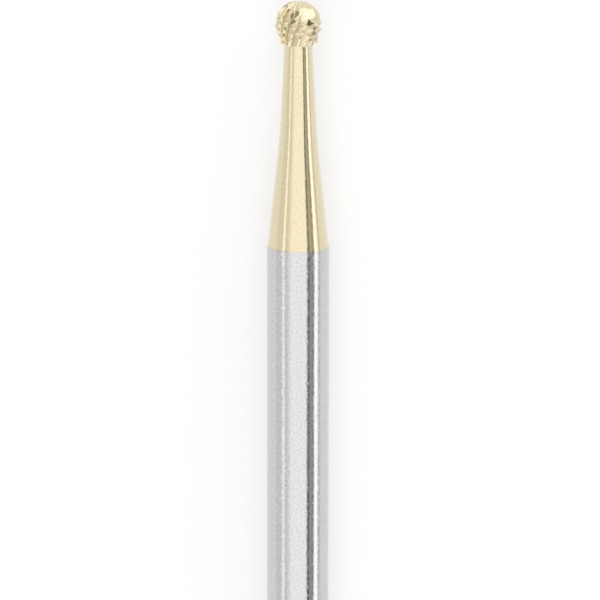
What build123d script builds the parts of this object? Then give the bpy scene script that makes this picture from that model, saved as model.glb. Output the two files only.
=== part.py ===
from build123d import *

import math
import os

# Round bone bur for a straight handpiece: one turned and ground piece, lying along +Y.
# Lengths are in millimetres. The origin is the centre of the shank's flat back end,
# +Y runs along the axis to the head, and +Z is up as the bur lies.

# Driving dimensions of the turned blank
total_length = 44.5
shank_d = 2.35
back_chamfer = 0.2
head_d = 1.75
head_back = 0.725  # from the head's centre to its flat back
straight_latitude = -33.6  # from here back the ball's outline runs straight
neck_d = 1.05  # just behind the head
neck_root_fillet = 0.07
taper_length = 8.44  # from the head's centre to the full shank
shoulder = 0.02  # the small step where the plain shank ends
knee_length = 4.16  # the steeper of the two cones, measured from the full shank
knee_d = 1.41
knee_fillet = 25.0

# Blades: ground on a right-hand helix of constant lead
blade_count = 14
blade_helix_angle = 22.7  # at the ball's widest place
blade_turn = 18.5  # where one cutting edge crosses there, from straight up
land_turn = 3.6  # width of the round land behind a cutting edge, as an angle
flute_depth = 0.125
flute_root_turn = 4.0  # from a cutting edge to the bottom of the flute before it
tip_latitude = 81.0  # the flutes end here in a small flat
section_step = 9.0  # latitude between the sections that carry the helix

# Cross-cuts: left-hand grooves that part each cutting edge into teeth
cross_starts = 9
cross_pitch = 0.27  # along the axis
cross_level = 0.074  # one tooth's point on the first blade, ahead of the head's centre
cross_depth = 0.09
cross_steep = 0.03  # run of the steep wall
cross_gentle = 0.2  # run of the gentle wall
cross_behind = 0.16  # how far a cut runs on behind the edge
cross_outside = 0.1  # and out past it
cross_highest = 0.27
cross_lowest = 0.68

# Values worked out from these
shank_r = shank_d / 2
head_r = head_d / 2
neck_r = neck_d / 2
head_y = total_length - head_r * math.sin(math.radians(tip_latitude))
taper_y = head_y - taper_length
knee_y = taper_y + knee_length
head_back_y = head_y - head_back
blade_spacing = 360 / blade_count
blade_rate = math.degrees(math.tan(math.radians(blade_helix_angle)) / head_r)
cross_lead = cross_starts * cross_pitch
flute_front = math.radians(flute_root_turn) * math.cos(math.radians(blade_helix_angle))
straight_level = head_r * math.sin(math.radians(straight_latitude))


def across(level):
    """The plane across the axis at a distance ahead of the head's centre."""
    return Plane(origin=(0, head_y + level, 0), x_dir=(0, 0, 1), z_dir=(0, 1, 0))


def head_radius(level):
    """Radius of the circle that the cutting edges touch: a ball, straight towards its back."""
    return math.sqrt(head_r**2 - max(level, straight_level) ** 2)


def polar(radius, turn):
    """A point of a plane across the axis, by its angle from straight up."""
    return (radius * math.cos(math.radians(turn)), radius * math.sin(math.radians(turn)))


def toothed_outline(level):
    """Corners of the head's section: for each blade a land and a flute, turned along the helix."""
    radius = head_radius(level)
    root_radius = radius * (1 - flute_depth / head_r)
    corners = []
    for blade in range(blade_count):
        turn = blade_turn + blade_spacing * blade + blade_rate * level
        corners.append(polar(radius, turn - land_turn))
        corners.append(polar(radius, turn))
        corners.append(polar(root_radius, turn + flute_root_turn))
    return corners


def ball_levels():
    """Levels of the sections that shape the ball, from its straight back to its tip."""
    steps = math.ceil((tip_latitude - straight_latitude) / section_step)
    latitudes = [
        straight_latitude + (tip_latitude - straight_latitude) * step / steps
        for step in range(steps + 1)
    ]
    return [head_r * math.sin(math.radians(latitude)) for latitude in latitudes]


def cross_levels(blade):
    """Levels of one blade's tooth points, spaced along left-hand grooves."""
    level = (cross_level - cross_lead * blade / blade_count) % cross_pitch
    while level + cross_pitch < cross_highest:
        level += cross_pitch
    levels = []
    while level > -cross_lowest:
        levels.append(level)
        level -= cross_pitch
    return levels


def cross_plane(blade, level):
    """The plane square to a cross-cut, above the flute's bottom: x along the blade, y outwards."""
    radius = head_radius(level)
    turn = math.radians(blade_turn + blade_spacing * blade + blade_rate * level)
    slope = math.atan2(radius - head_radius(level + cross_pitch), cross_pitch)
    out = Vector(math.cos(slope) * math.sin(turn), math.sin(slope), math.cos(slope) * math.cos(turn))
    round_axis = Vector(math.cos(turn), 0, -math.sin(turn))
    along_axis = Vector(-math.sin(slope) * math.sin(turn), math.cos(slope), -math.sin(slope) * math.cos(turn))
    fall = math.atan(cross_lead / (2 * math.pi * head_r))
    groove = round_axis * math.cos(fall) - along_axis * math.sin(fall)
    edge = Vector(radius * math.sin(turn), head_y + level, radius * math.cos(turn))
    return Plane(origin=edge + groove * flute_front * radius, x_dir=out.cross(groove), z_dir=groove)


with BuildPart() as bone_bur:
    # Shank, taper and neck, turned about the axis
    with BuildSketch(Plane.XY) as blank:
        with BuildLine():
            Polyline(
                (0, 0),
                (shank_r - back_chamfer, 0),
                (shank_r, back_chamfer),
                (shank_r, taper_y),
                (shank_r - shoulder, taper_y),
                (knee_d / 2, knee_y),
                (neck_r, head_back_y - neck_root_fillet),
            )
            RadiusArc(
                (neck_r, head_back_y - neck_root_fillet),
                (neck_r + neck_root_fillet, head_back_y),
                neck_root_fillet,
            )
            Polyline((neck_r + neck_root_fillet, head_back_y), (0, head_back_y), (0, 0))
        make_face()
        knee = blank.vertices().sort_by_distance((knee_d / 2, knee_y, 0))[0]
        fillet(knee, knee_fillet)
    revolve(axis=Axis.Y)

    # Ball with its flutes
    for level in ball_levels():
        with BuildSketch(across(level)):
            Polygon(*toothed_outline(level), align=None)
    loft()

    # Straight back of the head, with the same flutes
    for level in (-head_back, straight_level):
        with BuildSketch(across(level)):
            Polygon(*toothed_outline(level), align=None)
    loft(ruled=True)

    # Cross-cuts
    for blade in range(blade_count):
        for level in cross_levels(blade):
            depth = cross_depth * head_radius(level) / head_r
            with BuildSketch(cross_plane(blade, level)):
                Polygon(
                    (cross_steep, -depth),
                    (-cross_steep * cross_outside / depth, cross_outside),
                    (cross_steep + cross_gentle * (depth + cross_outside) / depth, cross_outside),
                    align=None,
                )
    extrude(amount=-(flute_front * head_r + cross_behind), mode=Mode.SUBTRACT)

bone_bur.part.label = "bone_bur"

os.makedirs("parts", exist_ok=True)
export_step(bone_bur.part, "parts/bone_bur.step")
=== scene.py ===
import math

import bpy
import numpy as np
from mathutils import Matrix, Vector


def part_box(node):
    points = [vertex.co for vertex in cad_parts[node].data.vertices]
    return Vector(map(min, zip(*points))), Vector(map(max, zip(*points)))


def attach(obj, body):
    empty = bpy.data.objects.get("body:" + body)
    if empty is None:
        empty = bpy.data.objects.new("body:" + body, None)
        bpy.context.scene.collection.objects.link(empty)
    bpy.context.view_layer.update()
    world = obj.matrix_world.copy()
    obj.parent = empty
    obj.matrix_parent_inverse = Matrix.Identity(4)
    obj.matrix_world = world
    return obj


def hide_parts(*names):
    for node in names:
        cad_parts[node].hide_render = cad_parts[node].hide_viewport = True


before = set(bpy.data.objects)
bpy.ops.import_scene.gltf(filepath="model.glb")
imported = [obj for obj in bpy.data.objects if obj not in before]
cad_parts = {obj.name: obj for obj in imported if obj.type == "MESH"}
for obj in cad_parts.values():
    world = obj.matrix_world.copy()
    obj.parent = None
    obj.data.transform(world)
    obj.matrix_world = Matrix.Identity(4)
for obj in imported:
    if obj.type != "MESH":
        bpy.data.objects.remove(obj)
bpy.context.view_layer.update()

# The bur lies along +Y with its shank's back end at the origin. Sizes are in millimetres here,
# and go to metres where a mesh, the camera or a material is made.
MM = 0.001

# Sizes read from the frame
low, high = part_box("bone_bur")
total_length = (high.y - low.y) / MM
shank_r = (high.x - low.x) / 2 / MM

# Turned form, as in the part's source
back_chamfer = 0.2
head_r = 1.75 / 2
head_back = 0.725
straight_latitude = -33.6
neck_r = 1.05 / 2
neck_root_fillet = 0.07
taper_length = 8.44
shoulder = 0.02
knee_length = 4.16
knee_r = 1.41 / 2
knee_fillet = 25.0

# Blades and cross-cuts, as in the part's source
blade_count = 14
blade_helix_angle = 22.7
blade_turn = 18.5
land_turn = 3.6
flute_depth = 0.125
flute_root_turn = 4.0
tip_latitude = 81.0
cross_starts = 9
cross_pitch = 0.27
cross_level = 0.074
cross_depth = 0.09
cross_steep = 0.03
cross_gentle = 0.2
cross_behind = 0.16
cross_highest = 0.27
cross_lowest = 0.68

# Fineness of the mesh
edge_turn = 0.3  # each blade's corners are rounded over this angle on both sides
land_columns = 2
rake_columns = 4
back_columns = 12
cut_rows = 130  # rows of the head where it is cross-cut
tip_rows = 50  # rows from there to the tip
corner_softness = 0.006  # over which the cross-cuts' corners are rounded
shank_columns = 192
shank_rows = 40
cone_rows = 8
knee_rows = 12
fillet_rows = 8
sink = 0.05  # how far the coated front's hidden end lies inside the shank

# Surfaces
steel_colour = (0.61, 0.6, 0.59)
gold_colour = (0.7, 0.59, 0.355)
flute_painted_shade = (0.46, 0.36, 0.16)  # painted shade deep in the flutes
land_painted_highlight = (0.92, 0.82, 0.54)  # painted highlight on the narrow lands behind the cutting edges
polish = 0.08  # roughness of the ground metal
polish_change = 0.2  # by which its speckle changes that
speckles_per_mm = 12.0
speckle_low = 0.3  # the noise lies mostly between these
speckle_high = 0.7
painted_shade_starts = 0.3  # share of a flute's depth from which its painted shade begins
painted_highlight_fade = 0.02  # depth of a cross-cut at which a land's painted highlight has gone

# Floor
floor_tone = 0.95
floor_glow = 0.55  # share of what the camera and the metal see of it that is lit from inside
floor_half = 3000.0
floor_gap = 0.001  # between it and the bur

# Camera, from where the photograph's outlines lie
picture_px = 600
camera_tilt = 13.05
camera_distance = 180.0
pixel_mm = 0.03774  # at the distance of the picture's centre
centre_from_head = 10.545  # from the head's centre back to the picture's centre
centre_aside = 0.072
camera_roll = 0.08

# Values worked out from these
head_y = total_length - head_r * math.sin(math.radians(tip_latitude))
taper_y = head_y - taper_length
knee_y = taper_y + knee_length
head_back_y = head_y - head_back
blade_spacing = 360 / blade_count
blade_rate = math.degrees(math.tan(math.radians(blade_helix_angle)) / head_r)
cross_lead = cross_starts * cross_pitch
flute_front = math.radians(flute_root_turn) * math.cos(math.radians(blade_helix_angle))
straight_level = head_r * math.sin(math.radians(straight_latitude))


# Shape of the head

def head_radius(level):
    """Radius that the cutting edges touch, at a distance ahead of the head's centre."""
    return np.sqrt(head_r**2 - np.maximum(level, straight_level) ** 2)


def column_turns():
    """Angles of one blade's columns from its cutting edge, over one spacing."""
    return np.concatenate([
        [-land_turn],
        np.linspace(edge_turn - land_turn, -edge_turn, land_columns),
        [0.0],
        np.linspace(edge_turn, flute_root_turn - edge_turn, rake_columns),
        [flute_root_turn],
        np.linspace(flute_root_turn + edge_turn, blade_spacing - land_turn - edge_turn, back_columns),
    ])


def straight_between(turn_a, radius_a, turn_b, radius_b, turns):
    """Radius of the straight line between two points of a section, at each angle."""
    a, b, t = math.radians(turn_a), math.radians(turn_b), np.radians(turns)
    return radius_a * radius_b * math.sin(b - a) / (radius_a * np.sin(t - a) + radius_b * np.sin(b - t))


def blade_section(turns):
    """Radius at each column, as a share of the cutting edge's, from land to land round the flute."""
    corners = [
        (-land_turn, 1), (0, 1), (flute_root_turn, 1 - flute_depth / head_r), (blade_spacing - land_turn, 1),
    ]
    share = np.ones_like(turns)
    for (turn_a, radius_a), (turn_b, radius_b) in zip(corners, corners[1:]):
        between = (turns >= turn_a) & (turns <= turn_b)
        share[between] = straight_between(turn_a, radius_a, turn_b, radius_b, turns[between])
    return share


def cross_levels(blade):
    """Levels of one blade's tooth points, spaced along left-hand grooves."""
    level = (cross_level - cross_lead * blade / blade_count) % cross_pitch
    while level + cross_pitch < cross_highest:
        level += cross_pitch
    levels = []
    while level > -cross_lowest:
        levels.append(level)
        level -= cross_pitch
    return levels


def rounded_max(a, b):
    return (a + b + np.sqrt((a - b) ** 2 + corner_softness**2)) / 2


def rounded_min(a, b):
    return (a + b - np.sqrt((a - b) ** 2 + corner_softness**2)) / 2


def cross_cut(blade, level, levels, turns, radii):
    """The head's radii with one cross-cut made: a V along its groove, from the flute to behind the edge."""
    radius = float(head_radius(level))
    turn = math.radians(blade_turn + blade_spacing * blade + blade_rate * level)
    slope = math.atan2(radius - float(head_radius(level + cross_pitch)), cross_pitch)
    fall = math.atan(cross_lead / (2 * math.pi * head_r))
    out = np.array([math.cos(slope) * math.sin(turn), math.sin(slope), math.cos(slope) * math.cos(turn)])
    round_axis = np.array([math.cos(turn), 0, -math.sin(turn)])
    groove = round_axis * math.cos(fall) - np.cross(out, round_axis) * math.sin(fall)
    ahead = np.cross(out, groove)
    depth = cross_depth * radius / head_r
    edge = np.array([radius * math.sin(turn), level, radius * math.cos(turn)])
    bottom = edge + ahead * cross_steep - out * depth
    starts = np.stack([np.zeros_like(levels), levels, np.zeros_like(levels)], -1)
    rays = np.stack([np.sin(turns), np.zeros_like(turns), np.cos(turns)], -1)
    from_edge = starts + rays * radii[..., None] - edge
    along = from_edge @ groove
    inside = (along < flute_front * radius) & (along > flute_front * (radius - head_r) - cross_behind)
    inside &= np.linalg.norm(from_edge, axis=-1) < 2 * cross_pitch
    walls = []
    for normal in (out + ahead * depth / cross_steep, out - ahead * depth / cross_gentle):
        rise = rays @ normal
        reach = (bottom - starts) @ normal
        upright = np.where(radii * rise > reach, -head_r, 2 * head_r)
        walls.append(np.where(rise > 0.02, reach / np.maximum(rise, 0.02), upright))
    return np.where(inside, rounded_min(radii, rounded_max(*walls)), radii)


def head_grid():
    """The head's points: one row for each level, one column for each angle round the axis."""
    cut_top = cross_highest + cross_pitch
    tip_start = math.asin(cut_top / head_r)
    tip_latitudes = np.linspace(tip_start, math.radians(tip_latitude), tip_rows + 1)[1:]
    rows = np.concatenate([np.linspace(-head_back, cut_top, cut_rows), head_r * np.sin(tip_latitudes)])
    columns = column_turns()
    offsets = np.concatenate([columns + blade_spacing * blade for blade in range(blade_count)])
    share = np.tile(blade_section(columns), blade_count)
    levels, offsets = np.meshgrid(rows, offsets, indexing="ij")
    turns = np.radians(blade_turn + offsets + blade_rate * levels)
    fluted = head_radius(levels) * share
    radii = fluted
    for blade in range(blade_count):
        for level in cross_levels(blade):
            radii = np.minimum(radii, cross_cut(blade, level, levels, turns, fluted))
    # Painted highlight: a bright tone on each blade's land, gone where a cross-cut sinks below it
    on_land = np.tile((columns >= -land_turn) & (columns <= edge_turn), blade_count)
    land = on_land * np.clip(1 - (fluted - radii) / painted_highlight_fade, 0, 1)
    # Painted shade: the flute mask darkens the coat deeper down in each flute and cross-cut
    depth = (head_radius(levels) - radii) / flute_depth
    flute = np.clip((depth - painted_shade_starts) / (1 - painted_shade_starts), 0, 1)
    return levels, turns, radii, land, flute


# Meshes

def turned_profile():
    """The coated front's outline behind the head, as (radius, place along the axis) from back to front."""
    start = np.array([shank_r - shoulder, taper_y])
    knee = np.array([knee_r, knee_y])
    end = np.array([neck_r, head_back_y - neck_root_fillet])
    before, after = knee - start, end - knee
    before, after = before / np.hypot(*before), after / np.hypot(*after)
    turn = math.acos(float(np.clip(before @ after, -1, 1)))
    reach = knee_fillet * math.tan(turn / 2)
    arc_start = knee - before * reach
    centre = arc_start + np.array([before[1], -before[0]]) * knee_fillet
    outline = [np.array([shank_r - shoulder, taper_y - sink])]
    outline += list(np.linspace(start, arc_start, cone_rows))
    from_centre = arc_start - centre
    for step in range(1, knee_rows + 1):
        a = -turn * step / knee_rows
        outline.append(centre + np.array([
            from_centre[0] * math.cos(a) - from_centre[1] * math.sin(a),
            from_centre[0] * math.sin(a) + from_centre[1] * math.cos(a),
        ]))
    outline += list(np.linspace(knee + after * reach, end, cone_rows))[1:]
    for step in range(1, fillet_rows + 1):
        a = math.radians(90 * step / fillet_rows)
        outline.append(end + neck_root_fillet * np.array([1 - math.cos(a), math.sin(a)]))
    return outline


def closed_mesh(name, points, sharp_rows):
    """A closed mesh from rows of points round the axis, with a flat end at both ends."""
    row_count, column_count = points.shape[:2]
    vertices = [tuple(p) for p in points.reshape(-1, 3) * MM]
    faces = []
    for row in range(row_count - 1):
        this_row, next_row = row * column_count, (row + 1) * column_count
        for j in range(column_count):
            k = (j + 1) % column_count
            faces.append((this_row + j, this_row + k, next_row + k, next_row + j))
    for row, faces_forward in ((0, False), (row_count - 1, True)):
        centre = len(vertices)
        vertices.append(tuple(points[row].mean(axis=0) * [0, 1, 0] * MM))
        for j in range(column_count):
            a, b = row * column_count + j, row * column_count + (j + 1) % column_count
            faces.append((centre, a, b) if faces_forward else (centre, b, a))
    mesh = bpy.data.meshes.new(name)
    mesh.from_pydata(vertices, [], faces)
    mesh.shade_smooth()
    ends = np.zeros(len(mesh.edges) * 2, int)
    mesh.edges.foreach_get("vertices", ends)
    edge_rows = ends.reshape(-1, 2) // column_count
    sharp = (edge_rows[:, 0] == edge_rows[:, 1]) & np.isin(edge_rows[:, 0], sharp_rows)
    sharp &= (ends.reshape(-1, 2) < row_count * column_count).all(axis=1)
    mesh.attributes.new("sharp_edge", "BOOLEAN", "EDGE").data.foreach_set("value", sharp)
    mesh.validate()
    piece = bpy.data.objects.new(name, mesh)
    bpy.context.scene.collection.objects.link(piece)
    return piece


def ring(radius, place, turns):
    return np.stack([radius * np.sin(turns), np.full_like(turns, place), radius * np.cos(turns)], -1)


def make_shank():
    turns = np.linspace(0, 2 * math.pi, shank_columns, endpoint=False)
    outline = [(shank_r - back_chamfer, 0.0)]
    outline += [(shank_r, place) for place in np.linspace(back_chamfer, taper_y, shank_rows)]
    points = np.stack([ring(radius, place, turns) for radius, place in outline])
    return closed_mesh("steel_shank", points, [0, 1, len(outline) - 1])


def make_coated_front():
    levels, turns, radii, land, flute = head_grid()
    head = np.stack([radii * np.sin(turns), head_y + levels, radii * np.cos(turns)], -1)
    outline = turned_profile()
    neck = np.stack([ring(radius, place, turns[0]) for radius, place in outline])
    points = np.concatenate([neck, head])
    piece = closed_mesh("coated_neck_and_head", points, [0, len(outline), len(points) - 1])
    # Masks for the painted highlight on the lands and the painted shade in the flutes
    for name, values in (("land", land), ("flute", flute)):
        attribute = piece.data.attributes.new(name, "FLOAT", "POINT")
        strengths = np.zeros(len(piece.data.vertices))
        first = neck.shape[0] * neck.shape[1]
        strengths[first:first + values.size] = values.ravel()
        attribute.data.foreach_set("value", strengths)
    return piece


# Materials

def new_material(name):
    material = bpy.data.materials.new(name)
    material.use_nodes = True
    nodes = material.node_tree.nodes
    return material, material.node_tree, nodes["Principled BSDF"]


def add(tree, kind, **values):
    node = tree.nodes.new(kind)
    for key, value in values.items():
        if key in node.inputs:
            node.inputs[key].default_value = value
        else:
            setattr(node, key, value)
    return node


def ground_metal(name, colour, metallic, speckle_height, mottle):
    """Finely ground metal: a fine speckle in its height, its gloss and, by the share mottle, its tone."""
    material, tree, shader = new_material(name)
    place = add(tree, "ShaderNodeTexCoord")
    speckle = add(tree, "ShaderNodeTexNoise", Scale=speckles_per_mm / MM, Detail=2.0, Roughness=0.6)
    tree.links.new(place.outputs["Object"], speckle.inputs["Vector"])
    bump = add(tree, "ShaderNodeBump", Strength=1.0, Distance=speckle_height * MM)
    tree.links.new(speckle.outputs["Fac"], bump.inputs["Height"])
    tree.links.new(bump.outputs["Normal"], shader.inputs["Normal"])
    gloss = add(tree, "ShaderNodeMapRange")
    gloss.inputs["From Min"].default_value = speckle_low
    gloss.inputs["From Max"].default_value = speckle_high
    gloss.inputs["To Min"].default_value = polish * (1 - polish_change)
    gloss.inputs["To Max"].default_value = polish * (1 + polish_change)
    tree.links.new(speckle.outputs["Fac"], gloss.inputs["Value"])
    tree.links.new(gloss.outputs["Result"], shader.inputs["Roughness"])
    shade = add(tree, "ShaderNodeMix", data_type="RGBA")
    shade.inputs["A"].default_value = (*[c * (1 - mottle) for c in colour], 1)
    shade.inputs["B"].default_value = (*[c * (1 + mottle) for c in colour], 1)
    tree.links.new(speckle.outputs["Fac"], shade.inputs["Factor"])
    tree.links.new(shade.outputs["Result"], shader.inputs["Base Color"])
    shader.inputs["Metallic"].default_value = metallic
    return material, shade.outputs["Result"]


def mix_painted_light(material, colour, name, painted_tone, strength):
    """Another tone where the mesh marks it, mixed over the material's colour: used for painted shade and
    painted highlight.
    """
    tree = material.node_tree
    mark = add(tree, "ShaderNodeAttribute", attribute_name=name)
    share = add(tree, "ShaderNodeMath", operation="MULTIPLY")
    share.inputs[1].default_value = strength
    tree.links.new(mark.outputs["Fac"], share.inputs[0])
    mix = add(tree, "ShaderNodeMix", data_type="RGBA")
    mix.inputs["B"].default_value = (*painted_tone, 1)
    tree.links.new(share.outputs[0], mix.inputs["Factor"])
    tree.links.new(colour, mix.inputs["A"])
    tree.links.new(mix.outputs["Result"], tree.nodes["Principled BSDF"].inputs["Base Color"])
    return mix.outputs["Result"]


def make_steel():
    material, _ = ground_metal("ground_steel", steel_colour, metallic=1.0, speckle_height=0.006, mottle=0.22)
    return material


def make_gold():
    """Gold-coated metal: a glossy layer whitens its highlights, flutes get painted shade and lands a painted
    highlight.
    """
    material, tone = ground_metal("gold_coat", gold_colour, metallic=0.85, speckle_height=0.004, mottle=0.15)
    shader = material.node_tree.nodes["Principled BSDF"]
    shader.inputs["Coat Weight"].default_value = 1.0
    shader.inputs["Coat IOR"].default_value = 2.1
    shader.inputs["Coat Roughness"].default_value = polish
    # Painted shade deep in the flutes
    tone = mix_painted_light(material, tone, "flute", flute_painted_shade, strength=0.85)
    # Painted highlight on the narrow lands
    mix_painted_light(material, tone, "land", land_painted_highlight, strength=0.9)
    return material


def floor_material():
    """Pale matt floor, partly lit from inside for the camera and the metal, so its shadow is light."""
    material, tree, shader = new_material("pale_floor")
    shader.inputs["Base Color"].default_value = (floor_tone, floor_tone, floor_tone, 1)
    shader.inputs["Roughness"].default_value = 0.9
    shader.inputs["Specular IOR Level"].default_value = 0.0
    glow = add(tree, "ShaderNodeEmission", Color=(1, 1, 1, 1), Strength=1.0)
    ray = add(tree, "ShaderNodeLightPath")
    seen = ray.outputs["Is Camera Ray"]
    for kind in ("Is Glossy Ray", "Is Transmission Ray"):
        either = add(tree, "ShaderNodeMath", operation="MAXIMUM")
        tree.links.new(seen, either.inputs[0])
        tree.links.new(ray.outputs[kind], either.inputs[1])
        seen = either.outputs[0]
    share = add(tree, "ShaderNodeMath", operation="MULTIPLY")
    share.inputs[1].default_value = floor_glow
    tree.links.new(seen, share.inputs[0])
    mix = add(tree, "ShaderNodeMixShader")
    tree.links.new(share.outputs[0], mix.inputs["Fac"])
    tree.links.new(shader.outputs[0], mix.inputs[1])
    tree.links.new(glow.outputs[0], mix.inputs[2])
    tree.links.new(mix.outputs[0], tree.nodes["Material Output"].inputs["Surface"])
    return material


# Light: a white tent with panels, dark gaps and bright strips, which the metal mirrors as bands along the
# bur. Each is where it starts and ends, as angles round the bur's axis from straight up and positive to the
# right, and its brightness. They were placed and set against the bands in the photograph.
tent_level = 0.88
panel_level = 1.3
gap_level = 0.1
tent_beside = [
    (-180, -61, tent_level),
    (-57.5, -54.5, 1.6),
    (-51, -42, tent_level),
    (-25, 33, panel_level),
    (36, 40, gap_level),
    (45, 52, 0.48),
    (57.5, 60.5, 0.25),
    (64.5, 74, 1.7),
    (83, 180, 0.7),
]
tent_before = [
    (-180, -110, tent_level),
    (-90, -45, 0.35),
    (-28, 0, panel_level),
    (6, 42, gap_level),
    (50, 70, panel_level),
    (85, 180, tent_level),
]
tent_ahead = [
    (-180, -110, tent_level),
    (-90, -50, 0.35),
    (-38, 10, 1.7),
    (25, 80, 1.9),
    (95, 180, tent_level),
]
tent_behind = [
    (-180, -60, tent_level),
    (-25, 25, panel_level),
    (60, 180, tent_level),
]

# Going forwards along the bur, the tent behind gives way to each of these between two places, which are the
# part of a direction that points along the bur
tent_changes = [
    (-0.55, -0.45, tent_beside),
    (0.16, 0.2, tent_before),
    (0.5, 0.56, tent_ahead),
]


def band_ramp(tree, share, bands):
    """Brightness round the axis: even over each band, with an even change from one to the next."""
    ramp = add(tree, "ShaderNodeValToRGB")
    elements = ramp.color_ramp.elements
    elements.remove(elements[1])
    stops = [(degrees, brightness) for start, end, brightness in bands for degrees in (start, end)]
    for i, (degrees, brightness) in enumerate(stops):
        element = elements[0] if i == 0 else elements.new((degrees + 180) / 360)
        element.position = (degrees + 180) / 360
        element.color = (brightness, brightness, brightness, 1)
    tree.links.new(share.outputs["Result"], ramp.inputs["Fac"])
    return ramp.outputs["Color"]


def mix_along(tree, parts, start, end, first, second):
    """One colour below a direction's part along the bur, another above it, and a soft change between."""
    share = add(tree, "ShaderNodeMapRange", interpolation_type="SMOOTHSTEP")
    share.inputs["From Min"].default_value = start
    share.inputs["From Max"].default_value = end
    tree.links.new(parts.outputs["Y"], share.inputs["Value"])
    mix = add(tree, "ShaderNodeMix", data_type="RGBA")
    tree.links.new(share.outputs["Result"], mix.inputs["Factor"])
    tree.links.new(first, mix.inputs["A"])
    tree.links.new(second, mix.inputs["B"])
    return mix.outputs["Result"]


def make_world():
    world = bpy.data.worlds.new("tent")
    bpy.context.scene.world = world
    world.use_nodes = True
    tree = world.node_tree
    place = add(tree, "ShaderNodeTexCoord")
    parts = add(tree, "ShaderNodeSeparateXYZ")
    tree.links.new(place.outputs["Generated"], parts.inputs[0])
    angle = add(tree, "ShaderNodeMath", operation="ARCTAN2")
    tree.links.new(parts.outputs["X"], angle.inputs[0])
    tree.links.new(parts.outputs["Z"], angle.inputs[1])
    share = add(tree, "ShaderNodeMapRange")
    share.inputs["From Min"].default_value = -math.pi
    share.inputs["From Max"].default_value = math.pi
    tree.links.new(angle.outputs[0], share.inputs["Value"])
    light = band_ramp(tree, share, tent_behind)
    for start, end, bands in tent_changes:
        light = mix_along(tree, parts, start, end, light, band_ramp(tree, share, bands))
    tree.links.new(light, tree.nodes["Background"].inputs["Color"])


def make_floor():
    half = floor_half * MM
    height = low.z - floor_gap * MM
    corners = [(-half, -half, height), (half, -half, height), (half, half, height), (-half, half, height)]
    mesh = bpy.data.meshes.new("floor")
    mesh.from_pydata(corners, [], [(0, 1, 2, 3)])
    floor = bpy.data.objects.new("floor", mesh)
    bpy.context.scene.collection.objects.link(floor)
    mesh.materials.append(floor_material())


def make_camera():
    camera = bpy.data.objects.new("camera", bpy.data.cameras.new("camera"))
    bpy.context.scene.collection.objects.link(camera)
    tilt, roll = math.radians(camera_tilt), math.radians(camera_roll)
    target = Vector((centre_aside, head_y - centre_from_head, 0))
    towards = Vector((0, math.sin(tilt), math.cos(tilt)))
    up = Vector((0, math.cos(tilt), -math.sin(tilt)))
    axes = Matrix((up.cross(towards), up, towards)).transposed()
    camera.rotation_euler = (axes @ Matrix.Rotation(roll, 3, "Z")).to_euler()
    camera.location = (target + towards * camera_distance) * MM
    camera.data.angle = 2 * math.atan(picture_px / 2 * pixel_mm / camera_distance)
    camera.data.clip_start = 0.01
    camera.data.clip_end = 10
    bpy.context.scene.camera = camera


# Assembly
shank = make_shank()
shank.data.materials.append(make_steel())
coated = make_coated_front()
coated.data.materials.append(make_gold())
for piece, slot in ((shank, "steel"), (coated, "gold_coating")):
    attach(piece, "root")
    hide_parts("bone_bur")

make_world()
make_floor()
make_camera()
bpy.context.scene.view_settings.view_transform = "Standard"
